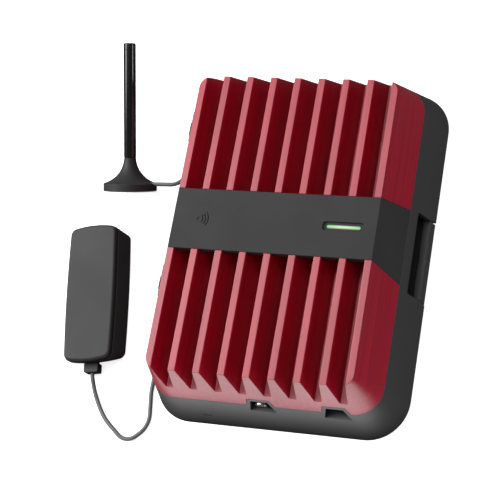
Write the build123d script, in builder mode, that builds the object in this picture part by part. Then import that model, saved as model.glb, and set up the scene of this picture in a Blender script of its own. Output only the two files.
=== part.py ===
from build123d import *
from math import cos, radians, sin, tan
import os

# Cellular signal booster kit, in millimetres, +Z up.
# The booster lies on its wall bracket: the back is at z = 0, the fins point up, and +Y is the long way.
# The origin is the centre of the bracket's back face. Both antennas lie beside the booster, at -X.

# ---- driving dimensions: case ----
CASE_W = 114.2
CASE_L = 155.4
CASE_R = 17.9
CASE_H = 43.1
SPLIT_Z = 20.8  # base below, heat sink above
DRAFT = 16.17  # degrees, the same on every side
SLOPE = tan(radians(DRAFT))
WALL = 2.4
FLOOR_Z = 5.6
GAP = 0.12  # visible seam between neighbouring castings and mouldings
CUT = 1.0  # how far a cutting block reaches past the face it opens

# ---- heat sink ----
FIN_COUNT = 9
FIN_PITCH = 10.8
FIN_TIP = 2.85
SLOT_FLOOR_Z = 29.1
SLOT_FLOOR_W = 3.3
SLOT_ROOT_R = 0.7
CEILING_Z = 25.0
CAVITY_W = 91.0
CAVITY_L = 132.0
CAVITY_R = 3.0
PEDESTAL_Z = 20.4
PEDESTAL_HALF = (12.0, 17.0)
THERMAL_PAD_HALF = (11.0, 16.0)

# ---- centre band ----
BAND_HALF = 13.2
BAND_FLARE = 3.1
BAND_T = 2.5
BAND_SIDE_T = 2.6
BAND_UNDER_Z = CASE_H - BAND_T
LIP_H = 2.0
LIP_T = 4.2
LIGHT_X = 30.5
LIGHT_W = 14.3
LIGHT_D = 1.5
LIGHT_GAP = 0.05
RECESS_W = 17.8
RECESS_D = 3.9
RECESS_R = 1.4
RECESS_DEPTH = 0.9
LIGHT_PROUD = 0.15  # above the recess floor
STEM_X = 27.0
STEM_W = 2.4
STEM_D = 1.5
STEM_GAP = 0.1
LED_H = 1.2
ICON_X = -33.0
ICON_DEPTH = 0.3
ICON_DOT_R = 0.7
ICON_ARCS = (2.0, 3.2, 4.4)
ICON_HALF_ANGLE = 38
ICON_STROKE = 0.56

# ---- ports ----
PORT_AXIS_Z = 20.0
PORT_LOW_Z = 16.2
PORT_HIGH_Z = 23.8
PORT_TOP_W = 7.4
PORT_LOW_W = 11.6
HOOD_T = 1.6
HOOD_TOP_Z = PORT_HIGH_Z + HOOD_T
HOOD_BACK_Y = 66.0
POWER_X = 32.5
POWER_FACE_Y = 65.9
RF_R = 2.5
VENT_AT = (-27.7, 7.7)
VENT_W = 4.5
VENT_H = 0.9
LABEL_Y = 42.0
LABEL_W = 56.0
LABEL_L = 28.0
LABEL_RECESS = 0.3
LABEL_T = 0.22

# ---- circuit board and what stands on it ----
BOARD_W = 88.0
BOARD_L = 119.0
BOARD_T = 1.6
BOARD_TOP_Z = 15.2
BOARD_BOTTOM_Z = BOARD_TOP_Z - BOARD_T
CAN_W = 32.0
CAN_L = 44.0
CAN_H = 4.4
CAN_T = 0.3
CAN_X = -21.0
CAN_Y = 26.0

# ---- screws ----
CASE_SCREW_R = 1.5
CASE_SCREW_TOP_Z = 27.0
CASE_SEAT_Z = 3.0
CASE_HEAD_R = 2.8
CASE_HEAD_H = 1.8
CASE_SOCKET_R = 1.3
CASE_SOCKET_DEPTH = 1.1
SCREW_GAP = 0.05  # round the thread in its boss
BOSS_R = 3.5
BOSS_GAP = 0.5
CORNER_SCREW = (43.5, 64.0)
END_SCREW = (21.6, 66.0)
BOARD_SCREW_R = 1.0
BOARD_HEAD_R = 2.1
BOARD_HEAD_H = 1.4
BOARD_SOCKET_R = 1.0
BOARD_SOCKET_DEPTH = 0.9
BOARD_SCREW = (39.5, 52.0)

# ---- wall bracket and its latch arms ----
STRAP_W = 36.0
STRAP_T = 3.0
STRAP_R = 0.8
STRAP_HALF = 52.1
POCKET_Z = 3.2
HOLE_X = 32.0
HOLE_Y = 11.0
HOLE_R = 2.25
COUNTERSINK_R = 4.0
ARM_LOW_Z = 0.4
ARM_TOP_Z = 4.2
ARM_HALF_LOW = 18.6
ARM_HALF_TOP = 17.3
ARM_INNER_X = 52.7
ARM_GAP = 0.5
ARM_END_GAP = 0.2
PIN_X = 53.9
PIN_Z = 1.8
PIN_R = 0.6
PIN_HALF = 15.0
KNUCKLE_R = 1.3
KNUCKLE_Y = 9.0
KNUCKLE_L = 6.0
SCOOP_TOP_Z = 17.2  # finger scoop over each arm
SCOOP_X = 48.9
SCOOP_HALF = 17.8
SCOOP_LEAD = 0.5  # the scoop's arc starts this far outside the wall
SCOOP_BEND_Z = 12.6
SCOOP_R = 4.0
SCOOP_BACKING = 3.2  # thickness of the pad moulded behind the scoop
SCOOP_BACKING_HALF = 21.0
WELL_HALF = 16.4  # open well between the case and the arm

# ---- outside antenna: leans on its rim, mast tip raised ----
BASE_AT = (-83.8, 21.8, 11.1)
TIP_AT = (-85.3, 82.8, 38.0)
BASE_R = 12.0
RIM_H = 3.9
PAD_T = 0.3
MAST_R = 2.75
MAST_FOOT = 15.0
MAST_BORE = 1.2
CAP_H = 3.0
TRUMPET_MID = (5.0, 8.4)  # radius and height half way up the flare
MAGNET_R = 10.4
MAGNET_H = 1.5

# ---- inside antenna: lies on its back ----
PATCH_AT = (-93.4, -26.4)
PATCH_TURN = 9.5  # degrees
PATCH_H = 11.0
PATCH_FACE = (22.0, 60.4)  # width and length of the front cover
PATCH_SHOULDER = (22.9, 60.6)  # of the back cover at the seam
PATCH_FOOT = (28.0, 57.6)  # and at its foot
PATCH_CAVITY = (16.6, 54.6)
PATCH_SEAM_Z = 8.4
PATCH_GROOVE = 0.8
PATCH_SHELL = 1.4
PATCH_BULGE = 0.6
PATCH_END_BULGE = 1.4
PATCH_R = 3.2
BACK_Z = 0.7
CLAMP_W = 6.6
CLAMP_L = 4.2
CLAMP_H = 4.4
CLAMP_LOW_Z = 1.2
NECK_W = 5.0
NECK_H = 3.0

# ---- cables ----
CABLE_R = 0.9
CABLE_GAP = 0.12
PLUG_R = 3.3
PLUG_L = 14.0
RUN_X = -58.9  # cable run on the floor, just clear of the case wall
PLUG_X = -60.8

os.makedirs("parts", exist_ok=True)


def save(part, name):
    """Label a finished piece and write its file."""
    part.label = name
    export_step(part, f"parts/{name}.step")


def drafted(z0, z1, inset=0.0, mode=Mode.ADD):
    """The case's drafted block from z0 to z1, with every side moved in by inset."""
    shrink = 2 * (inset + z0 * SLOPE)
    with BuildSketch(Plane.XY.offset(z0)) as outline:
        RectangleRounded(CASE_W - shrink, CASE_L - shrink, CASE_R - shrink / 2)
    extrude(outline.sketch, amount=z1 - z0, taper=DRAFT, mode=mode)


def box(x0, x1, y0, y1, z0, z1, mode=Mode.ADD):
    """A box between two corners."""
    with Locations(((x0 + x1) / 2, (y0 + y1) / 2, (z0 + z1) / 2)):
        Box(x1 - x0, y1 - y0, z1 - z0, mode=mode)


def centred_boxes(points, half, z0, z1, mode=Mode.ADD):
    """Equal boxes centred on points, with half their width and length given."""
    for x, y in points:
        box(x - half[0], x + half[0], y - half[1], y + half[1], z0, z1, mode)


def posts(points, radius, z0, z1, mode=Mode.ADD):
    """Round posts or holes at the same height."""
    with BuildSketch(Plane.XY.offset(z0)) as circles:
        with Locations(*points):
            Circle(radius)
    extrude(circles.sketch, amount=z1 - z0, mode=mode)


def corners(pair):
    """A point mirrored into all four quadrants."""
    x, y = pair
    return [(sx * x, sy * y) for sx in (-1, 1) for sy in (-1, 1)]


def band_prism(grow, mode):
    """The band's footprint seen from the side: it flares towards the rim."""
    front = BAND_HALF + grow
    rim = front + BAND_FLARE
    with BuildSketch(Plane.YZ) as side:
        Polygon((-rim, SPLIT_Z), (rim, SPLIT_Z), (front, CASE_H), (-front, CASE_H), align=None)
    extrude(side.sketch, amount=CASE_W, both=True, mode=mode)


def trapezoid_tunnel(x, y0, y1, low_z, high_z, low_w, high_w, mode):
    """A tunnel or block along Y with a symmetric trapezoid section, between y0 and y1."""
    with BuildSketch(Plane.XZ.offset(-y0)) as section:
        Polygon(
            (x - low_w / 2, low_z),
            (x + low_w / 2, low_z),
            (x + high_w / 2, high_z),
            (x - high_w / 2, high_z),
            align=None,
        )
    extrude(section.sketch, amount=y0 - y1, mode=mode)


PORT_GROW = (PORT_LOW_W - PORT_TOP_W) / (PORT_HIGH_Z - PORT_LOW_Z)  # width gained per mm downwards
HOOD_TOP_W = PORT_TOP_W + HOOD_T * 1.3
HOOD_LOW_W = HOOD_TOP_W + PORT_GROW * (HOOD_TOP_Z - PORT_LOW_Z + HOOD_T)
PORTS = [(0.0, -1), (POWER_X, -1), (0.0, 1)]  # x, and which end of the case


def hood(x, end, grow, mode):
    """The hood round a port, at one end of the case."""
    y0, y1 = end * HOOD_BACK_Y, end * (CASE_L / 2)
    trapezoid_tunnel(
        x,
        max(y0, y1),
        min(y0, y1),
        PORT_LOW_Z - HOOD_T,
        HOOD_TOP_Z + grow,
        HOOD_LOW_W + 2 * grow,
        HOOD_TOP_W + 2 * grow,
        mode,
    )


def port_opening(x, end, mode):
    """The opening itself, right through the wall."""
    y0, y1 = end * (HOOD_BACK_Y - 6), end * (CASE_L / 2 + 1)
    trapezoid_tunnel(
        x, max(y0, y1), min(y0, y1), PORT_LOW_Z, PORT_HIGH_Z, PORT_LOW_W, PORT_TOP_W, mode
    )


CASE_SCREWS = corners(CORNER_SCREW) + corners(END_SCREW)
BOARD_SCREWS = corners(BOARD_SCREW)
PEDESTALS = [(CAN_X, CAN_Y), (CAN_X, -CAN_Y)]

# ---- centre band ----
with BuildPart() as centre_band:
    drafted(SPLIT_Z, CASE_H)
    band_prism(0.0, Mode.INTERSECT)
    drafted(SPLIT_Z + LIP_H, BAND_UNDER_Z, BAND_SIDE_T, Mode.SUBTRACT)
    drafted(SPLIT_Z, SPLIT_Z + LIP_H, LIP_T, Mode.SUBTRACT)
    # light window: a shallow recess round a slot
    with BuildSketch(Plane.XY.offset(CASE_H)):
        with Locations((LIGHT_X, 0)):
            RectangleRounded(RECESS_W, RECESS_D, RECESS_R)
    extrude(amount=-RECESS_DEPTH, mode=Mode.SUBTRACT)
    with BuildSketch(Plane.XY.offset(CASE_H)):
        with Locations((LIGHT_X, 0)):
            SlotOverall(LIGHT_W + 2 * LIGHT_GAP, LIGHT_D + 2 * LIGHT_GAP)
    extrude(amount=-BAND_T - CUT, mode=Mode.SUBTRACT)
    # generic wave mark: a dot with three arcs
    with BuildSketch(Plane.XY.offset(CASE_H)):
        with Locations((ICON_X, 0)):
            Circle(ICON_DOT_R)
            for radius in ICON_ARCS:
                with BuildLine():
                    CenterArc((ICON_X, 0), radius, -ICON_HALF_ANGLE, 2 * ICON_HALF_ANGLE)
                    offset(amount=ICON_STROKE / 2, side=Side.BOTH)
                make_face()
    extrude(amount=-ICON_DEPTH, mode=Mode.SUBTRACT)
save(centre_band.part, "centre_band")

# ---- heat sink ----
with BuildPart() as band_seat:
    band_prism(GAP, Mode.ADD)
    drafted(SPLIT_Z + LIP_H, BAND_UNDER_Z, BAND_SIDE_T, Mode.SUBTRACT)
    drafted(SPLIT_Z, SPLIT_Z + LIP_H, LIP_T, Mode.SUBTRACT)

SLOT_TOP_W = FIN_PITCH - FIN_TIP
SLOT_XS = [(i - (FIN_COUNT - 2) / 2) * FIN_PITCH for i in range(FIN_COUNT - 1)]

with BuildPart() as heat_sink:
    drafted(SPLIT_Z, CASE_H)
    with BuildSketch(Plane.XZ) as slots:
        for x in SLOT_XS:
            Polygon(
                (x - SLOT_FLOOR_W / 2, SLOT_FLOOR_Z),
                (x + SLOT_FLOOR_W / 2, SLOT_FLOOR_Z),
                (x + SLOT_TOP_W / 2, CASE_H),
                (x - SLOT_TOP_W / 2, CASE_H),
                align=None,
            )
        fillet(slots.vertices().group_by(Axis.Y)[0], SLOT_ROOT_R)
    extrude(amount=CASE_L, both=True, mode=Mode.SUBTRACT)
    add(band_seat.part, mode=Mode.SUBTRACT)
    # underside cavity, with the screw bosses and the pedestals left standing
    with BuildSketch(Plane.XY.offset(SPLIT_Z)):
        RectangleRounded(CAVITY_W, CAVITY_L, CAVITY_R)
        with Locations(*CASE_SCREWS):
            Circle(BOSS_R + BOSS_GAP, mode=Mode.SUBTRACT)
    extrude(amount=CEILING_Z - SPLIT_Z, mode=Mode.SUBTRACT)
    centred_boxes(PEDESTALS, PEDESTAL_HALF, PEDESTAL_Z, CEILING_Z)
    for x, end in PORTS:
        hood(x, end, GAP, Mode.SUBTRACT)
    posts(CASE_SCREWS, CASE_SCREW_R + SCREW_GAP, SPLIT_Z, CASE_SCREW_TOP_Z + BOSS_GAP, Mode.SUBTRACT)
    stem_hole = (STEM_W / 2 + STEM_GAP, STEM_D / 2 + STEM_GAP)
    centred_boxes([(STEM_X, 0)], stem_hole, CEILING_Z - CUT, CASE_H, Mode.SUBTRACT)
save(heat_sink.part, "heat_sink")

# ---- light pipe ----
with BuildPart() as light_pipe:
    with BuildSketch(Plane.XY.offset(BAND_UNDER_Z)):
        with Locations((LIGHT_X, 0)):
            SlotOverall(LIGHT_W, LIGHT_D)
    extrude(amount=BAND_T - RECESS_DEPTH + LIGHT_PROUD)
    centred_boxes(
        [(STEM_X, 0)], (STEM_W / 2, STEM_D / 2), BOARD_TOP_Z + LED_H + STEM_GAP, BAND_UNDER_Z + STEM_GAP
    )
save(light_pipe.part, "light_pipe")

# ---- base tray ----
with BuildPart() as scoop_tool:
    # the wall turns in gradually, then drops behind the arm
    wall_x = CASE_W / 2 - SCOOP_TOP_Z * SLOPE
    ledge_z = ARM_TOP_Z - 0.1
    with BuildSketch(Plane.XZ.offset(-SCOOP_HALF)):
        with BuildLine():
            turn = ThreePointArc(
                (wall_x + SCOOP_LEAD, SCOOP_TOP_Z),
                ((wall_x + SCOOP_X + 0.7) / 2 + 1.5, SCOOP_BEND_Z),
                (SCOOP_X + 0.7, ARM_TOP_Z + 4.6),
            )
            Polyline(
                turn @ 1,
                (SCOOP_X, ledge_z + 2.0),
                (SCOOP_X, ledge_z),
                (CASE_W, ledge_z),
                (CASE_W, SCOOP_TOP_Z),
                turn @ 0,
            )
        make_face()
    extrude(amount=2 * SCOOP_HALF)
    with BuildSketch(Plane.YZ.offset(SCOOP_X - CUT)):
        with Locations((0, SCOOP_TOP_Z / 2)):
            RectangleRounded(2 * SCOOP_HALF, SCOOP_TOP_Z, SCOOP_R)
    extrude(amount=CASE_W, mode=Mode.INTERSECT)
    box(SCOOP_X, ARM_INNER_X, -WELL_HALF, WELL_HALF, POCKET_Z - 0.3, ARM_TOP_Z + CUT)
    mirror(about=Plane.YZ)


def arm_outline(grow, z_low, z_high):
    """Side outline of a latch arm: its near end leans out towards the back, its far end is square."""
    lean = (ARM_HALF_LOW - ARM_HALF_TOP) / ARM_TOP_Z
    low = ARM_HALF_LOW - lean * z_low + grow
    high = ARM_HALF_LOW - lean * z_high + grow
    far = ARM_HALF_TOP + grow
    Polygon((-low, z_low), (far, z_low), (far, z_high), (-high, z_high), align=None)


with BuildPart() as base_tray:
    drafted(0, SPLIT_Z)
    drafted(WALL, SPLIT_Z, WALL, Mode.SUBTRACT)
    box(-SCOOP_X, SCOOP_X, -STRAP_W / 2 - WALL, STRAP_W / 2 + WALL, 0, FLOOR_Z)
    # thick pads behind the finger scoops
    for side in (-1, 1):
        x0, x1 = side * (SCOOP_X - SCOOP_BACKING), side * (CASE_W / 2 - SPLIT_Z * SLOPE - WALL)
        low_z, high_z = FLOOR_Z - CUT, SCOOP_TOP_Z + WALL
        box(min(x0, x1), max(x0, x1), -SCOOP_BACKING_HALF, SCOOP_BACKING_HALF, low_z, high_z)
    posts(CASE_SCREWS, CASE_HEAD_R + 2.0, 0, FLOOR_Z)
    posts(CASE_SCREWS, BOSS_R, FLOOR_Z - CUT, SPLIT_Z)
    posts(BOARD_SCREWS, BOSS_R, WALL - CUT, BOARD_BOTTOM_Z)
    for x, end in PORTS:
        hood(x, end, 0.0, Mode.ADD)
    drafted(0, CASE_H, 0.0, Mode.INTERSECT)
    for x, end in PORTS:
        port_opening(x, end, Mode.SUBTRACT)
    # back channel for the bracket, and the latch arms' side pockets
    channel_half = STRAP_W / 2 + POCKET_Z - STRAP_T
    box(-CASE_W, CASE_W, -channel_half, channel_half, -CUT, POCKET_Z, Mode.SUBTRACT)
    with BuildSketch(Plane.YZ.offset(ARM_INNER_X - ARM_GAP)):
        arm_outline(ARM_END_GAP, -CUT, ARM_TOP_Z + 0.1)
    extrude(amount=CASE_W, mode=Mode.SUBTRACT)
    with BuildSketch(Plane.YZ.offset(-ARM_INNER_X + ARM_GAP)):
        arm_outline(ARM_END_GAP, -CUT, ARM_TOP_Z + 0.1)
    extrude(amount=-CASE_W, mode=Mode.SUBTRACT)
    add(scoop_tool.part, mode=Mode.SUBTRACT)
    # screw holes
    posts(CASE_SCREWS, CASE_SCREW_R + 2 * SCREW_GAP, -CUT, SPLIT_Z + CUT, Mode.SUBTRACT)
    posts(CASE_SCREWS, CASE_HEAD_R + 0.3, -CUT, CASE_SEAT_Z, Mode.SUBTRACT)
    posts(BOARD_SCREWS, BOARD_SCREW_R + SCREW_GAP, FLOOR_Z + 1, BOARD_BOTTOM_Z + CUT, Mode.SUBTRACT)
    # small vent slot in the near end wall, and the label's recess
    vent_low, vent_high = VENT_AT[1] - VENT_H / 2, VENT_AT[1] + VENT_H / 2
    vent = ((VENT_AT[0], -CASE_L / 2),)
    centred_boxes(vent, (VENT_W / 2, 3 * WALL), vent_low, vent_high, Mode.SUBTRACT)
    label_half = (LABEL_W / 2 + 0.2, LABEL_L / 2 + 0.2)
    centred_boxes([(0, LABEL_Y)], label_half, -CUT, LABEL_RECESS, Mode.SUBTRACT)
save(base_tray.part, "base_tray")

with BuildPart() as rating_label:
    with BuildSketch(Plane.XY.offset(LABEL_RECESS)):
        with Locations((0, LABEL_Y)):
            RectangleRounded(LABEL_W, LABEL_L, 1.0)
    extrude(amount=-LABEL_T)
save(rating_label.part, "rating_label")

# ---- screws ----
with BuildPart() as case_screws:
    posts(CASE_SCREWS, CASE_SCREW_R, CASE_SEAT_Z, CASE_SCREW_TOP_Z)
    posts(CASE_SCREWS, CASE_HEAD_R, CASE_SEAT_Z - CASE_HEAD_H, CASE_SEAT_Z)
    with BuildSketch(Plane.XY.offset(CASE_SEAT_Z - CASE_HEAD_H)):
        with Locations(*CASE_SCREWS):
            RegularPolygon(CASE_SOCKET_R, 6)
    extrude(amount=CASE_SOCKET_DEPTH, mode=Mode.SUBTRACT)
save(case_screws.part, "case_screws")

with BuildPart() as board_screws:
    posts(BOARD_SCREWS, BOARD_SCREW_R, FLOOR_Z + 1.5, BOARD_TOP_Z)
    posts(BOARD_SCREWS, BOARD_HEAD_R, BOARD_TOP_Z, BOARD_TOP_Z + BOARD_HEAD_H)
    with BuildSketch(Plane.XY.offset(BOARD_TOP_Z + BOARD_HEAD_H)):
        with Locations(*BOARD_SCREWS):
            RegularPolygon(BOARD_SOCKET_R, 6)
    extrude(amount=-BOARD_SOCKET_DEPTH, mode=Mode.SUBTRACT)
save(board_screws.part, "board_screws")

# ---- circuit board ----
with BuildPart() as main_board:
    with BuildSketch(Plane.XY.offset(BOARD_BOTTOM_Z)):
        RectangleRounded(BOARD_W, BOARD_L, 3.0)
        with Locations(*BOARD_SCREWS):
            Circle(BOARD_SCREW_R + 0.15, mode=Mode.SUBTRACT)
    extrude(amount=BOARD_T)
save(main_board.part, "main_board")


def shield_can(y):
    """A pressed cover over one amplifier chain, open underneath."""
    x0, x1 = CAN_X - CAN_W / 2, CAN_X + CAN_W / 2
    y0, y1 = y - CAN_L / 2, y + CAN_L / 2
    box(x0, x1, y0, y1, BOARD_TOP_Z, BOARD_TOP_Z + CAN_H)
    vertical = [e for e in edges() if abs(e.length - CAN_H) < 0.01]
    fillet(vertical, 1.0)
    box(
        x0 + CAN_T,
        x1 - CAN_T,
        y0 + CAN_T,
        y1 - CAN_T,
        BOARD_TOP_Z - CUT,
        BOARD_TOP_Z + CAN_H - CAN_T,
        Mode.SUBTRACT,
    )


for can_name, can_y in (("uplink_shield_can", CAN_Y), ("downlink_shield_can", -CAN_Y)):
    with BuildPart() as can:
        shield_can(can_y)
    save(can.part, can_name)

with BuildPart() as thermal_pads:
    centred_boxes(PEDESTALS, THERMAL_PAD_HALF, BOARD_TOP_Z + CAN_H, PEDESTAL_Z)
save(thermal_pads.part, "thermal_pads")


def chips(points, width, length, height):
    """Moulded packages of one size, standing on the board."""
    with BuildSketch(Plane.XY.offset(BOARD_TOP_Z)) as outlines:
        with Locations(*points):
            Rectangle(width, length)
    extrude(outlines.sketch, amount=height)


AMPLIFIERS = [(CAN_X + dx, end * CAN_Y + dy) for end in (-1, 1) for dx, dy in ((-7, 9), (6, -8))]
with BuildPart() as amplifier_chips:
    chips(AMPLIFIERS, 8, 8, 1.2)
save(amplifier_chips.part, "amplifier_chips")

with BuildPart() as duplex_filters:
    chips([(8, y) for y in (-20, -6, 8, 22, 36)], 9, 6, 3.2)
save(duplex_filters.part, "duplex_filters")

with BuildPart() as controller_chip:
    chips([(22, 20)], 12, 12, 1.4)
save(controller_chip.part, "controller_chip")

with BuildPart() as power_inductor:
    chips([(26, -26)], 12.5, 12.5, 6.0)
    chamfer(power_inductor.edges().filter_by(Axis.Z), 2.0)
save(power_inductor.part, "power_inductor")

with BuildPart() as capacitors:
    posts([(12, -44), (22, -44), (34, -12)], 4.0, BOARD_TOP_Z, BOARD_TOP_Z + 8.6)
    fillet(capacitors.faces().filter_by(Axis.Z).group_by(Axis.Z)[-1].edges(), 0.6)
save(capacitors.part, "capacitors")

with BuildPart() as status_led:
    chips([(STEM_X, 0)], 3.2, 1.8, LED_H)
save(status_led.part, "status_led")

# ---- jacks ----
RF_FACE_Y = 71.5
RF_BLOCK_Y = (53.5, 62.5)


def rf_jack(end):
    """A coaxial push-on jack at one end: a body on the board, a round shell and a centre pin."""
    back, front = end * RF_BLOCK_Y[0], end * RF_BLOCK_Y[1]
    box(-4, 4, min(back, front), max(back, front), BOARD_TOP_Z, BOARD_TOP_Z + 8.4)
    for radius, depth, mode in (
        (RF_R, 9.0, Mode.ADD),
        (RF_R - 0.55, 7.0, Mode.SUBTRACT),
        (0.45, 7.0, Mode.ADD),
    ):
        face_y = end * RF_FACE_Y
        with BuildSketch(Plane.XZ.offset(-face_y)) as ring:
            with Locations((0, PORT_AXIS_Z)):
                Circle(radius)
        extrude(ring.sketch, amount=end * depth, mode=mode)


for jack_name, jack_end in (("inside_antenna_jack", -1), ("outside_antenna_jack", 1)):
    with BuildPart() as jack:
        rf_jack(jack_end)
    save(jack.part, jack_name)

with BuildPart() as power_jack:
    box(POWER_X - 4.5, POWER_X + 4.5, -POWER_FACE_Y, -POWER_FACE_Y + 11.5, BOARD_TOP_Z, BOARD_TOP_Z + 9.0)
    for radius, depth, mode in ((3.1, 8.0, Mode.SUBTRACT), (0.9, 9.0, Mode.ADD)):
        with BuildSketch(Plane.XZ.offset(POWER_FACE_Y)) as barrel:
            with Locations((POWER_X, PORT_AXIS_Z)):
                Circle(radius)
        extrude(barrel.sketch, amount=-depth, mode=mode)
save(power_jack.part, "power_jack")

# ---- wall bracket ----
KNUCKLES = (-KNUCKLE_Y, KNUCKLE_Y)


def knuckle_blocks(side, grow, mode):
    """The bracket's two hinge knuckles at one side, joined to the strap by webs."""
    for y in KNUCKLES:
        half = KNUCKLE_L / 2 + grow
        with BuildSketch(Plane.XZ.offset(-y - half)) as section:
            with Locations((side * PIN_X, PIN_Z)):
                Circle(KNUCKLE_R + grow)
            with Locations((side * (STRAP_HALF + PIN_X) / 2, PIN_Z)):
                Rectangle(PIN_X - STRAP_HALF + 1, 2 * (KNUCKLE_R + grow) - 0.7)
        extrude(section.sketch, amount=2 * half, mode=mode)


def pin_rods(side, radius, half, mode):
    """A rod along one hinge line."""
    with BuildSketch(Plane.XZ.offset(-half)) as rod:
        with Locations((side * PIN_X, PIN_Z)):
            Circle(radius)
    extrude(rod.sketch, amount=2 * half, mode=mode)


with BuildPart() as bracket_plate:
    with BuildSketch():
        RectangleRounded(2 * STRAP_HALF, STRAP_W, STRAP_R)
    extrude(amount=STRAP_T)
    for side in (-1, 1):
        knuckle_blocks(side, 0.0, Mode.ADD)
        pin_rods(side, PIN_R + 0.03, PIN_HALF + 1, Mode.SUBTRACT)
    with Locations(Plane.XY.offset(STRAP_T)):
        with Locations(*corners((HOLE_X, HOLE_Y))):
            CounterSinkHole(HOLE_R, COUNTERSINK_R, counter_sink_angle=90)
save(bracket_plate.part, "bracket_plate")

with BuildPart() as latch_pins:
    for side in (-1, 1):
        pin_rods(side, PIN_R, PIN_HALF, Mode.ADD)
save(latch_pins.part, "latch_pins")


def latch_arm(side):
    """A latch arm flush with the case wall, with room for the bracket's knuckles."""
    with BuildSketch(Plane.YZ.offset(side * ARM_INNER_X)) as outline:
        arm_outline(0.0, ARM_LOW_Z, ARM_TOP_Z)
    extrude(outline.sketch, amount=side * CASE_W / 2)
    drafted(0, SPLIT_Z, 0.0, Mode.INTERSECT)
    knuckle_blocks(side, 0.3, Mode.SUBTRACT)
    pin_rods(side, PIN_R + 0.06, PIN_HALF + 0.2, Mode.SUBTRACT)


for arm_name, arm_side in (("left_latch_arm", -1), ("right_latch_arm", 1)):
    with BuildPart() as arm:
        latch_arm(arm_side)
    save(arm.part, arm_name)


# ---- outside antenna ----
ANTENNA_AXIS = (Vector(*TIP_AT) - Vector(*BASE_AT)).normalized()
ANTENNA_LENGTH = (Vector(*TIP_AT) - Vector(*BASE_AT)).length
ANTENNA_SIDE = ANTENNA_AXIS.cross(Vector(0, 0, 1)).normalized()
ANTENNA = Plane(origin=BASE_AT, x_dir=ANTENNA_SIDE, z_dir=ANTENNA_AXIS)
ANTENNA_PROFILE = Plane(origin=BASE_AT, x_dir=ANTENNA_SIDE, z_dir=ANTENNA_SIDE.cross(ANTENNA_AXIS))
ANTENNA_CENTRE = Axis(BASE_AT, tuple(ANTENNA_AXIS))
CABLE_EXIT_H = 3.4
GROMMET_R = 1.15


def stem(radius, low, high, mode=Mode.ADD):
    """A round part of the outside antenna between two heights along its axis."""
    with BuildSketch(ANTENNA.offset(low)) as circle:
        Circle(radius)
    extrude(circle.sketch, amount=high - low, mode=mode)


with BuildPart() as cable_bore:
    # the hole through which the cable leaves the base, towards the booster
    with BuildSketch(Plane(origin=ANTENNA.from_local_coords((0, 0, CABLE_EXIT_H)), z_dir=ANTENNA_SIDE)):
        Circle(GROMMET_R)
    extrude(amount=2 * BASE_R)

with BuildPart() as antenna_base:
    with BuildSketch(ANTENNA_PROFILE):
        with BuildLine():
            flare = ThreePointArc((BASE_R - 0.9, RIM_H), TRUMPET_MID, (MAST_R - 0.05, MAST_FOOT))
            rim_edge = (BASE_R, RIM_H - 0.4)
            Polyline(flare @ 1, (0, MAST_FOOT), (0, PAD_T), (BASE_R, PAD_T), rim_edge, flare @ 0)
        make_face()
    revolve(axis=ANTENNA_CENTRE)
    stem(MAGNET_R, 0, PAD_T + MAGNET_H, Mode.SUBTRACT)
    stem(MAST_BORE, MAST_FOOT - 5, MAST_FOOT + 1, Mode.SUBTRACT)
    add(cable_bore.part, mode=Mode.SUBTRACT)
save(antenna_base.part, "antenna_base")

with BuildPart() as antenna_magnet:
    stem(MAGNET_R - 0.05, PAD_T, PAD_T + MAGNET_H - 0.3)
    stem(3.0, PAD_T - 0.1, PAD_T + MAGNET_H, Mode.SUBTRACT)
save(antenna_magnet.part, "antenna_magnet")

with BuildPart() as base_pad:
    stem(BASE_R - 0.25, 0, PAD_T)
save(base_pad.part, "base_pad")

MAST_TOP = ANTENNA_LENGTH - CAP_H
with BuildPart() as antenna_mast:
    stem(MAST_R, MAST_FOOT, MAST_TOP)
    chamfer(antenna_mast.edges().group_by(ANTENNA_CENTRE)[0], 0.3)
    stem(MAST_BORE + 0.1, MAST_FOOT - 1, MAST_TOP + 1, Mode.SUBTRACT)
save(antenna_mast.part, "antenna_mast")

with BuildPart() as mast_cap:
    stem(MAST_R, MAST_TOP + 0.1, ANTENNA_LENGTH)
    fillet(mast_cap.edges().group_by(ANTENNA_CENTRE)[-1], 0.7)
    stem(MAST_BORE, MAST_TOP - 4, MAST_TOP + 0.2)
save(mast_cap.part, "mast_cap")

with BuildPart() as radiating_element:
    stem(0.6, MAST_FOOT - 4.9, MAST_TOP - 4.1)
save(radiating_element.part, "radiating_element")

# ---- inside antenna ----
PATCH_X_DIR = (cos(radians(PATCH_TURN)), sin(radians(PATCH_TURN)), 0)
PATCH = Plane(origin=(*PATCH_AT, 0), x_dir=PATCH_X_DIR, z_dir=(0, 0, 1))


def patch_outline(z, size, inset=0.0):
    """Rounded, slightly barrel-shaped outline of the inside antenna at height z."""
    x, y = size[0] / 2 - inset, size[1] / 2 - inset
    with BuildSketch(PATCH.offset(z)) as outline:
        with BuildLine():
            ThreePointArc((-x, -y), (0, -y - PATCH_END_BULGE), (x, -y))
            ThreePointArc((x, -y), (x + PATCH_BULGE, 0), (x, y))
            ThreePointArc((x, y), (0, y + PATCH_END_BULGE), (-x, y))
            ThreePointArc((-x, y), (-x - PATCH_BULGE, 0), (-x, -y))
        make_face()
        fillet(outline.vertices(), PATCH_R)
    return outline.sketch


def clamp_block(width, height, y0, y1, mode=Mode.ADD):
    """A block on the inside antenna's centre line, round the cable's axis."""
    with BuildSketch(PATCH.offset(CLAMP_Z - height / 2)) as footprint:
        with Locations((0, (y0 + y1) / 2)):
            Rectangle(width, y1 - y0)
    extrude(footprint.sketch, amount=height, mode=mode)


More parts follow.
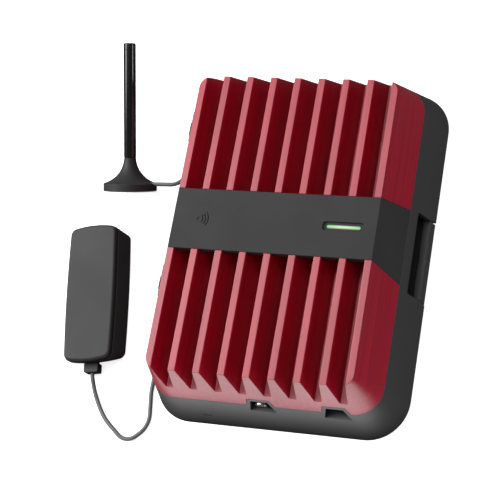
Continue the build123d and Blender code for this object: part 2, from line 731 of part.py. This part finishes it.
CLAMP_Z = CLAMP_LOW_Z + CLAMP_H / 2
CLAMP_FACE_Y = -PATCH_SHOULDER[1] / 2 - 1.0  # just outside the back cover's end wall
CLAMP_TAIL_Y = CLAMP_FACE_Y - CLAMP_L
NECK_IN_Y = -PATCH_CAVITY[1] / 2 + 0.5

with BuildPart() as inside_back_cover:
    loft((patch_outline(BACK_Z, PATCH_FOOT), patch_outline(PATCH_SEAM_Z, PATCH_SHOULDER)), ruled=True)
    extrude(patch_outline(BACK_Z + PATCH_SHELL, PATCH_CAVITY), amount=PATCH_H, mode=Mode.SUBTRACT)
    clamp_block(NECK_W + 0.2, NECK_H + 0.2, CLAMP_FACE_Y - 1, NECK_IN_Y, Mode.SUBTRACT)
save(inside_back_cover.part, "inside_back_cover")

COVER_UNDER_Z = PATCH_SEAM_Z + PATCH_GROOVE
LIP_LOW_Z = PATCH_SEAM_Z - 2.0
with BuildPart() as inside_front_cover:
    extrude(patch_outline(COVER_UNDER_Z, PATCH_FACE), amount=PATCH_H - COVER_UNDER_Z)
    fillet(inside_front_cover.faces().sort_by(Axis.Z)[-1].edges(), 1.1)
    extrude(patch_outline(LIP_LOW_Z, PATCH_CAVITY, 0.15), amount=COVER_UNDER_Z - LIP_LOW_Z + 0.2)
    hollow = patch_outline(LIP_LOW_Z, PATCH_CAVITY, 1.2)
    extrude(hollow, amount=PATCH_H - PATCH_SHELL - LIP_LOW_Z, mode=Mode.SUBTRACT)
save(inside_front_cover.part, "inside_front_cover")

with BuildPart() as inside_antenna_board:
    extrude(patch_outline(CLAMP_Z + CLAMP_H / 2, PATCH_CAVITY, 1.4), amount=1.0)
save(inside_antenna_board.part, "inside_antenna_board")

with BuildPart() as adhesive_pad:
    extrude(patch_outline(0, PATCH_FOOT, 2.0), amount=BACK_Z)
save(adhesive_pad.part, "adhesive_pad")

# the cable clamp's neck goes through the back cover's lower end wall
with BuildPart() as cable_clamp:
    clamp_block(CLAMP_W, CLAMP_H, CLAMP_TAIL_Y, CLAMP_FACE_Y)
    fillet(cable_clamp.edges().filter_by(Axis.Z), 0.6)
    clamp_block(NECK_W, NECK_H, CLAMP_FACE_Y - 0.5, NECK_IN_Y)
    clamp_face = Plane(origin=PATCH.from_local_coords((0, NECK_IN_Y + 1, CLAMP_Z)), z_dir=PATCH.y_dir)
    with BuildSketch(clamp_face):
        Circle(CABLE_R + CABLE_GAP)
    extrude(amount=CLAMP_TAIL_Y - NECK_IN_Y - 2, mode=Mode.SUBTRACT)
save(cable_clamp.part, "cable_clamp")

# ---- cables and their plugs ----
PLUG_BORE_L = 5.0


def cable(points, bend_radii):
    """A round cable swept along straight runs joined by round bends, one radius per bend."""
    with BuildLine() as path:
        FilletPolyline(*points, radius=bend_radii)
    with BuildSketch(Plane(origin=path.line @ 0, z_dir=path.line % 0)) as section:
        Circle(CABLE_R)
    sweep(section.sketch, path=path.line)


def plug(tail_y):
    """A push-on coaxial plug lying along +Y, its cable bore at tail_y and its socket at the far end."""
    rear = Plane(origin=(PLUG_X, tail_y, PLUG_R), x_dir=(1, 0, 0), z_dir=(0, 1, 0))
    for low, high, radius, mode in (
        (0, PLUG_L, PLUG_R - 0.3, Mode.ADD),
        (3.0, 8.5, PLUG_R, Mode.ADD),
        (-1, PLUG_BORE_L, CABLE_R + CABLE_GAP, Mode.SUBTRACT),
        (PLUG_L - 6, PLUG_L + 1, RF_R + 0.05, Mode.SUBTRACT),
        (PLUG_BORE_L + 1, PLUG_L - 1.5, 0.9, Mode.ADD),
        (PLUG_L - 4.5, PLUG_L, 0.5, Mode.SUBTRACT),
    ):
        with BuildSketch(rear.offset(low)) as circle:
            Circle(radius)
        extrude(circle.sketch, amount=high - low, mode=mode)


OUTSIDE_PLUG_Y = 50.0
INSIDE_PLUG_Y = -24.0
CABLE_Z = CABLE_R + 0.05
with BuildPart() as outside_antenna_cable:
    cable(
        [
            ANTENNA.from_local_coords((BASE_R / 3, 0, CABLE_EXIT_H)),
            ANTENNA.from_local_coords((2 * BASE_R + 1.4, 0, CABLE_EXIT_H)),
            (PLUG_X, OUTSIDE_PLUG_Y - 6.0, PLUG_R),
            (PLUG_X, OUTSIDE_PLUG_Y + 2.0, PLUG_R),
        ],
        (5, 9),
    )
save(outside_antenna_cable.part, "outside_antenna_cable")

with BuildPart() as outside_antenna_plug:
    plug(OUTSIDE_PLUG_Y)
save(outside_antenna_plug.part, "outside_antenna_plug")

with BuildPart() as inside_antenna_cable:
    cable(
        [
            PATCH.from_local_coords((0, CLAMP_FACE_Y, CLAMP_Z)),
            PATCH.from_local_coords((0, CLAMP_TAIL_Y - 1.6, CLAMP_Z)),
            (-85.2, -71.0, CABLE_Z),
            (-78.6, -80.4, CABLE_Z),
            (-66.2, -90.2, CABLE_Z),
            (-56.8, -81.6, CABLE_Z),
            (RUN_X, -67.0, CABLE_Z),
            (RUN_X, -40.0, CABLE_Z),
            (PLUG_X, INSIDE_PLUG_Y - 5.0, PLUG_R),
            (PLUG_X, INSIDE_PLUG_Y + 2.0, PLUG_R),
        ],
        (6, 26, 26, 6.5, 10, 16, 8, 8),
    )
save(inside_antenna_cable.part, "inside_antenna_cable")

with BuildPart() as inside_antenna_plug:
    plug(INSIDE_PLUG_Y)
save(inside_antenna_plug.part, "inside_antenna_plug")
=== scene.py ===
"""Cellular signal booster kit: finishes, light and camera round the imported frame."""

from math import cos, radians, sin

import bpy
from mathutils import Matrix, Vector


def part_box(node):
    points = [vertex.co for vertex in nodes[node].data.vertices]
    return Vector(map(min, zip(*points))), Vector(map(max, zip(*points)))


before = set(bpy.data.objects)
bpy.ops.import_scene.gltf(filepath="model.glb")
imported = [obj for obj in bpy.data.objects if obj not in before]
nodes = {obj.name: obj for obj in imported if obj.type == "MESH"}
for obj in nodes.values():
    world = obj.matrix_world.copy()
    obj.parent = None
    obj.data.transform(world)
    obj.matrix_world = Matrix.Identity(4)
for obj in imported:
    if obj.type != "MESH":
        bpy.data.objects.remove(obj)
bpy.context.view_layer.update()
MM = 0.001


# ---------------------------------------------------------------- node helpers
class Shader:
    """A material's node tree, with short calls to add and join nodes."""

    def __init__(self, name):
        self.material = bpy.data.materials.new(name)
        self.material.use_nodes = True
        self.tree = self.material.node_tree
        self.tree.nodes.clear()
        self.output = self.add("ShaderNodeOutputMaterial")

    def add(self, kind, inputs=None, **settings):
        node = self.tree.nodes.new(kind)
        for key, value in settings.items():
            setattr(node, key, value)
        for key, value in (inputs or {}).items():
            self.feed(node.inputs[key], value)
        return node

    def feed(self, socket, value):
        """Joins an output to a socket, or sets the socket's value."""
        if isinstance(value, bpy.types.NodeSocket):
            self.tree.links.new(value, socket)
        else:
            socket.default_value = value

    def math(self, operation, a, b=0.0, clamp=False):
        node = self.add("ShaderNodeMath", {0: a, 1: b}, operation=operation, use_clamp=clamp)
        return node.outputs[0]

    def ramp(self, value, low, high, start, end):
        """value remapped from start..end to low..high, clamped."""
        node = self.add(
            "ShaderNodeMapRange",
            {"Value": value, "From Min": start, "From Max": end, "To Min": low, "To Max": high},
        )
        return node.outputs[0]

    def mix(self, amount, a, b):
        node = self.add("ShaderNodeMix", {"Factor": amount}, data_type="RGBA")
        self.feed(node.inputs["A"], a)
        self.feed(node.inputs["B"], b)
        return node.outputs["Result"]

    def place(self, stretch=(1, 1, 1)):
        """Object coordinates, which are the row frame in metres, scaled per axis."""
        where = self.add("ShaderNodeTexCoord").outputs["Object"]
        return self.add("ShaderNodeMapping", {"Vector": where, "Scale": stretch}).outputs[0]

    def noise(self, size, detail=3.0, stretch=(1, 1, 1)):
        """Noise whose features are about size metres across."""
        node = self.add(
            "ShaderNodeTexNoise",
            {"Vector": self.place(stretch), "Scale": 1.0 / size, "Detail": detail},
        )
        return node.outputs["Fac"]

    def edge(self, radius):
        """(rounded normal, edge mask): the mask is 1 on sharp edges and 0 on faces."""
        rounded = self.add("ShaderNodeBevel", {"Radius": radius}, samples=6).outputs[0]
        flat = self.add("ShaderNodeNewGeometry").outputs["Normal"]
        dot = self.add("ShaderNodeVectorMath", {0: rounded, 1: flat}, operation="DOT_PRODUCT")
        return rounded, self.ramp(dot.outputs["Value"], 1.0, 0.0, 0.80, 0.995)

    def finish(self, **inputs):
        """The principled surface that ends every material."""
        surface = self.add("ShaderNodeBsdfPrincipled")
        for key, value in inputs.items():
            self.feed(surface.inputs[key.replace("_", " ")], value)
        self.tree.links.new(surface.outputs[0], self.output.inputs["Surface"])
        return self.material


def rgb(r, g, b):
    return (r, g, b, 1.0)


def coated(name, colour, highlight_colour, rough, grain=0.25 * MM, bump=0.2, edge=0.35 * MM, streaks=0.0, **extra):
    """A matte painted or moulded skin: fine grain, slow colour drift, and a painted highlight on its edges.

    streaks darkens it along fine lines parallel to Y, as on an extruded profile.
    """
    s = Shader(name)
    normal, mask = s.edge(edge)
    fine = s.noise(grain, 2.0)
    broad = s.noise(22 * MM, 4.0)
    relief = s.add(
        "ShaderNodeBump", {"Strength": bump, "Distance": 0.05 * MM, "Height": fine, "Normal": normal}
    )
    drift = s.mix(s.ramp(broad, 0.0, 1.0, 0.35, 0.65), colour, [c * 0.9 for c in colour[:3]] + [1.0])
    # painted highlight: sharp edges take a lighter colour, patchy along their length, where light would
    # catch them
    edge_highlight = s.math("MULTIPLY", mask, s.ramp(s.noise(4 * MM, 5.0), 0.25, 0.6, 0.4, 0.6))
    tint = s.mix(edge_highlight, drift, highlight_colour)
    if streaks:
        line = s.ramp(s.noise(1.3 * MM, 4.0, (1, 0.012, 1)), 1.0, 1.0 - streaks, 0.4, 0.62)
        tint = s.mix(line, rgb(0.0, 0.0, 0.0), tint)
    roughness = s.ramp(broad, rough - 0.03, rough + 0.04, 0.3, 0.7)
    return s.finish(Base_Color=tint, Roughness=roughness, Normal=relief.outputs[0], **extra)


def metal(name, colour, rough, stretch=(1, 1, 1)):
    """Plated metal with fine drawn marks, slight tarnish and a painted highlight on its edges."""
    s = Shader(name)
    normal, mask = s.edge(0.12 * MM)
    marks = s.noise(0.2 * MM, 3.0, stretch)
    relief = s.add(
        "ShaderNodeBump", {"Strength": 0.15, "Distance": 0.03 * MM, "Height": marks, "Normal": normal}
    )
    tarnish = s.ramp(s.noise(3 * MM, 5.0), 0.0, 0.5, 0.4, 0.75)
    tint = s.mix(tarnish, colour, [c * 0.55 for c in colour[:3]] + [1.0])
    # painted highlight: sharp edges mixed towards near white
    bright = s.mix(s.math("MULTIPLY", mask, 0.4), tint, rgb(0.9, 0.9, 0.88))
    roughness = s.ramp(marks, rough - 0.06, rough + 0.1, 0.3, 0.7)
    return s.finish(Base_Color=bright, Metallic=1.0, Roughness=roughness, Normal=relief.outputs[0])


def circuit_board():
    """Green solder mask over copper tracks, with gold pads."""
    s = Shader("solder_mask")
    tracks = s.add(
        "ShaderNodeTexBrick",
        {"Vector": s.place(), "Scale": 260.0, "Mortar Size": 0.035, "Mortar Smooth": 0.2},
        offset=0.5,
    )
    pads = s.add("ShaderNodeTexVoronoi", {"Vector": s.place(), "Scale": 300.0, "Randomness": 0.6})
    is_pad = s.ramp(pads.outputs["Distance"], 1.0, 0.0, 0.16, 0.2)
    mask = s.mix(tracks.outputs["Fac"], rgb(0.012, 0.09, 0.04), rgb(0.03, 0.17, 0.07))
    tint = s.mix(is_pad, mask, rgb(0.75, 0.55, 0.2))
    relief = s.add(
        "ShaderNodeBump", {"Strength": 0.3, "Distance": 0.05 * MM, "Height": tracks.outputs["Fac"]}
    )
    roughness = s.ramp(is_pad, 0.35, 0.25, 0.0, 1.0)
    return s.finish(Base_Color=tint, Metallic=is_pad, Roughness=roughness, Normal=relief.outputs[0])


LED_GLOW = 0.78


def light_pipe_glow():
    """Green glow, whitest along the middle of the bar, with an amber lower edge."""
    low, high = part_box("light_pipe")
    centre = (low + high) / 2
    half_x = (high.x - low.x) / 2
    half_y = (high.y - low.y) / 2
    s = Shader("lit_light_pipe")
    xyz = s.add("ShaderNodeSeparateXYZ", {"Vector": s.place()})
    along = s.math("DIVIDE", s.math("SUBTRACT", xyz.outputs["X"], centre.x), half_x)
    across = s.math("DIVIDE", s.math("SUBTRACT", xyz.outputs["Y"], centre.y), half_y)
    middle = s.math("SUBTRACT", 1.0, s.math("POWER", s.math("ABSOLUTE", along), 1.6), clamp=True)
    ridge = s.math("SUBTRACT", 1.0, s.math("POWER", s.math("ABSOLUTE", across), 1.4), clamp=True)
    cloud = s.math("MULTIPLY", middle, s.ramp(s.noise(2.5 * MM, 2.0), 0.85, 1.1, 0.3, 0.7))
    green = s.mix(ridge, rgb(0.02, 0.16, 0.03), rgb(0.20, 0.72, 0.22))
    core = s.mix(s.math("MULTIPLY", cloud, ridge), green, rgb(0.80, 0.95, 0.78))
    low_edge = s.math("MULTIPLY", s.ramp(across, 1.0, 0.0, -0.95, -0.25), cloud)
    tint = s.mix(low_edge, core, rgb(0.42, 0.13, 0.03))
    return s.finish(
        Base_Color=rgb(0.06, 0.16, 0.07), Roughness=0.3, Emission_Color=tint, Emission_Strength=LED_GLOW
    )


def blank_label():
    """Satin printed film with faint fibre."""
    s = Shader("blank_label")
    fibre = s.noise(0.6 * MM, 4.0, (1, 6, 1))
    tint = s.mix(s.ramp(fibre, 0.0, 1.0, 0.3, 0.7), rgb(0.32, 0.32, 0.33), rgb(0.4, 0.4, 0.41))
    relief = s.add("ShaderNodeBump", {"Strength": 0.1, "Distance": 0.02 * MM, "Height": fibre})
    return s.finish(Base_Color=tint, Roughness=0.42, Normal=relief.outputs[0])


def ceramic():
    """Pale speckled ceramic."""
    s = Shader("ceramic_block")
    normal, _ = s.edge(0.15 * MM)
    speck = s.noise(0.5 * MM, 4.0)
    tint = s.mix(s.ramp(speck, 0.0, 1.0, 0.35, 0.65), rgb(0.62, 0.6, 0.54), rgb(0.72, 0.7, 0.65))
    return s.finish(Base_Color=tint, Roughness=0.5, Normal=normal)


RED = coated(
    "red_paint",
    rgb(0.54, 0.004, 0.032),
    rgb(0.58, 0.06, 0.09),
    0.34,
    grain=0.22 * MM,
    bump=0.12,
    streaks=0.22,
    Specular_IOR_Level=1.0,
)
BAND_BLACK = coated(
    "band_moulding", rgb(0.056, 0.056, 0.057), rgb(0.08, 0.08, 0.08), 0.60, Specular_IOR_Level=0.12
)
TRAY_BLACK = coated(
    "tray_moulding", rgb(0.055, 0.055, 0.056), rgb(0.09, 0.09, 0.09), 0.44, Specular_IOR_Level=0.75
)
ANTENNA = coated(
    "antenna_moulding",
    rgb(0.045, 0.045, 0.047),
    rgb(0.09, 0.09, 0.09),
    0.46,
    bump=0.12,
    Specular_IOR_Level=0.25,
)
GLOSS = coated(
    "mast_tube", rgb(0.006, 0.006, 0.0065), rgb(0.03, 0.03, 0.03), 0.13, bump=0.02, edge=0.2 * MM
)
JACKET = coated("cable_jacket", rgb(0.16, 0.16, 0.165), rgb(0.22, 0.22, 0.22), 0.42, bump=0.08)
CHIP = coated("chip_package", rgb(0.025, 0.025, 0.027), rgb(0.06, 0.06, 0.06), 0.55, grain=0.1 * MM)
SOFT_PAD = coated("thermal_pad", rgb(0.36, 0.40, 0.46), rgb(0.42, 0.45, 0.5), 0.7)
# the pad glows a little: painted light standing in for the bright floor reflected in its underside
GLOWING_PALE_PAD = coated(
    "base_pad",
    rgb(0.72, 0.72, 0.72),
    rgb(0.75, 0.75, 0.75),
    0.5,
    Emission_Color=rgb(0.9, 0.9, 0.92),
    Emission_Strength=0.30,
)
FOAM = coated("adhesive_foam", rgb(0.05, 0.05, 0.052), rgb(0.09, 0.09, 0.09), 0.8, grain=0.6 * MM, bump=0.4)
STEEL = metal("zinc_steel", rgb(0.58, 0.58, 0.6), 0.32)
NICKEL = metal("nickel_plate", rgb(0.72, 0.68, 0.6), 0.22)
GOLD = metal("gold_contact", rgb(0.8, 0.6, 0.28), 0.25)
TIN = metal("tinned_can", rgb(0.62, 0.62, 0.62), 0.34, (1, 8, 1))
IRON = metal("magnet_iron", rgb(0.3, 0.3, 0.31), 0.5)
BOARD = circuit_board()

FINISHES = {
    "heat_sink": RED,
    "centre_band": BAND_BLACK,
    "base_tray": TRAY_BLACK,
    "bracket_plate": TRAY_BLACK,
    "left_latch_arm": TRAY_BLACK,
    "right_latch_arm": TRAY_BLACK,
    "light_pipe": light_pipe_glow(),
    "rating_label": blank_label(),
    "case_screws": STEEL,
    "board_screws": STEEL,
    "latch_pins": STEEL,
    "main_board": BOARD,
    "inside_antenna_board": BOARD,
    "uplink_shield_can": TIN,
    "downlink_shield_can": TIN,
    "capacitors": TIN,
    "thermal_pads": SOFT_PAD,
    "amplifier_chips": CHIP,
    "controller_chip": CHIP,
    "power_inductor": CHIP,
    "power_jack": CHIP,
    "duplex_filters": ceramic(),
    "status_led": ceramic(),
    "inside_antenna_jack": NICKEL,
    "outside_antenna_jack": NICKEL,
    "inside_antenna_plug": NICKEL,
    "outside_antenna_plug": NICKEL,
    "radiating_element": GOLD,
    "antenna_base": ANTENNA,
    "antenna_mast": GLOSS,
    "mast_cap": GLOSS,
    "antenna_magnet": IRON,
    "base_pad": GLOWING_PALE_PAD,
    "inside_front_cover": ANTENNA,
    "inside_back_cover": ANTENNA,
    "cable_clamp": ANTENNA,
    "adhesive_pad": FOAM,
    "outside_antenna_cable": JACKET,
    "inside_antenna_cable": JACKET,
}
for name, node in nodes.items():
    node.data.materials.clear()
    node.data.materials.append(FINISHES[name])


# ---------------------------------------------------------------- stage, light and camera
def lamp(name, place, aim, width, height, watts):
    """A soft rectangular light facing a point."""
    data = bpy.data.lights.new(name, "AREA")
    data.shape = "RECTANGLE"
    data.size = width
    data.size_y = height
    data.energy = watts
    light = bpy.data.objects.new(name, data)
    light.location = place
    light.rotation_euler = (Vector(aim) - Vector(place)).to_track_quat("-Z", "Y").to_euler()
    light.visible_camera = False
    bpy.context.scene.collection.objects.link(light)


def floor_material():
    """Pale floor that the camera sees bright, but that throws little light back up."""
    s = Shader("pale_floor")
    speck = s.noise(3 * MM, 3.0)
    tint = s.mix(s.ramp(speck, 0.0, 1.0, 0.3, 0.7), rgb(0.93, 0.93, 0.93), rgb(0.95, 0.95, 0.95))
    seen = s.add("ShaderNodeBsdfDiffuse", {"Color": tint})
    bounce = s.add("ShaderNodeBsdfDiffuse", {"Color": rgb(FLOOR_BOUNCE, FLOOR_BOUNCE, FLOOR_BOUNCE)})
    path = s.add("ShaderNodeLightPath")
    both = s.add("ShaderNodeMixShader", {0: path.outputs["Is Camera Ray"]})
    s.tree.links.new(bounce.outputs[0], both.inputs[1])
    s.tree.links.new(seen.outputs[0], both.inputs[2])
    glow = s.add("ShaderNodeEmission", {"Color": rgb(1, 1, 1)})
    s.feed(glow.inputs["Strength"], s.math("MULTIPLY", path.outputs["Is Camera Ray"], FLOOR_GLOW))
    total = s.add("ShaderNodeAddShader")
    s.tree.links.new(both.outputs[0], total.inputs[0])
    s.tree.links.new(glow.outputs[0], total.inputs[1])
    s.tree.links.new(total.outputs[0], s.output.inputs["Surface"])
    return s.material


# the floor and the world look bright to the camera and light the object far less
FLOOR_SIZE = 30.0
FLOOR_Z = -0.05 * MM
FLOOR_BOUNCE = 0.10
FLOOR_GLOW = 0.80
WORLD_SEEN = 1.0
WORLD_FILL = 0.13

bpy.ops.mesh.primitive_plane_add(size=FLOOR_SIZE, location=(0, 0, FLOOR_Z))
floor = bpy.context.object
floor.name = "floor"
floor.data.materials.append(floor_material())

world = bpy.data.worlds.new("pale_studio")
world.use_nodes = True
bpy.context.scene.world = world
sky = world.node_tree
backdrop = sky.nodes["Background"]
ray = sky.nodes.new("ShaderNodeLightPath")
level = sky.nodes.new("ShaderNodeMapRange")
level.inputs["To Min"].default_value = WORLD_FILL
level.inputs["To Max"].default_value = WORLD_SEEN
sky.links.new(ray.outputs["Is Camera Ray"], level.inputs["Value"])
sky.links.new(level.outputs[0], backdrop.inputs["Strength"])
backdrop.inputs["Color"].default_value = rgb(1, 1, 1)

AIM = (0, 0, 20 * MM)  # the middle of the booster
STRIP_AT = (-0.01, -0.125, 0.001)  # near the floor in front of the near end, facing up
STRIP_AIM = (-0.01, -0.125, 1.0)
STRIP_WATTS = 0.117
HIGH_AT = (-0.20, 0.16, 0.86)
HIGH_WATTS = 3.0
LEFT_AT = (-0.68, 0.10, 0.60)
LEFT_WATTS = 6.8
RIGHT_AT = (0.88, -0.05, 0.13)
RIGHT_WATTS = 2.4
lamp("front_strip", STRIP_AT, STRIP_AIM, 0.24, 0.07, STRIP_WATTS)
lamp("high_softbox", HIGH_AT, AIM, 0.75, 0.65, HIGH_WATTS)
lamp("left_softbox", LEFT_AT, AIM, 0.6, 0.4, LEFT_WATTS)
lamp("right_softbox", RIGHT_AT, AIM, 0.5, 0.14, RIGHT_WATTS)

VIEW_AZIMUTH = radians(46.0)  # 0 looks along +Y
VIEW_ELEVATION = radians(63.68)
VIEW_ROLL = radians(-39.75)
VIEW_DISTANCE = 0.5912
VIEW_AIM = Vector((23.3 * MM, 5.8 * MM, 43.1 * MM))
VIEW_LENS = 104.69
VIEW_SHIFT = (-0.1568, -0.0753)  # the object stands off the lens axis
SENSOR_WIDTH = 36.0
CLIP_START = 0.01

to_camera = Vector(
    (
        sin(VIEW_AZIMUTH) * cos(VIEW_ELEVATION),
        -cos(VIEW_AZIMUTH) * cos(VIEW_ELEVATION),
        sin(VIEW_ELEVATION),
    )
)
camera_data = bpy.data.cameras.new("camera")
camera_data.lens = VIEW_LENS
camera_data.sensor_width = SENSOR_WIDTH
camera_data.shift_x, camera_data.shift_y = VIEW_SHIFT
camera_data.clip_start = CLIP_START
camera = bpy.data.objects.new("camera", camera_data)
turn = to_camera.to_track_quat("Z", "Y").to_matrix().to_4x4() @ Matrix.Rotation(VIEW_ROLL, 4, "Z")
camera.matrix_world = Matrix.Translation(VIEW_AIM + VIEW_DISTANCE * to_camera) @ turn
bpy.context.scene.collection.objects.link(camera)
bpy.context.scene.camera = camera
bpy.context.scene.view_settings.view_transform = "Standard"
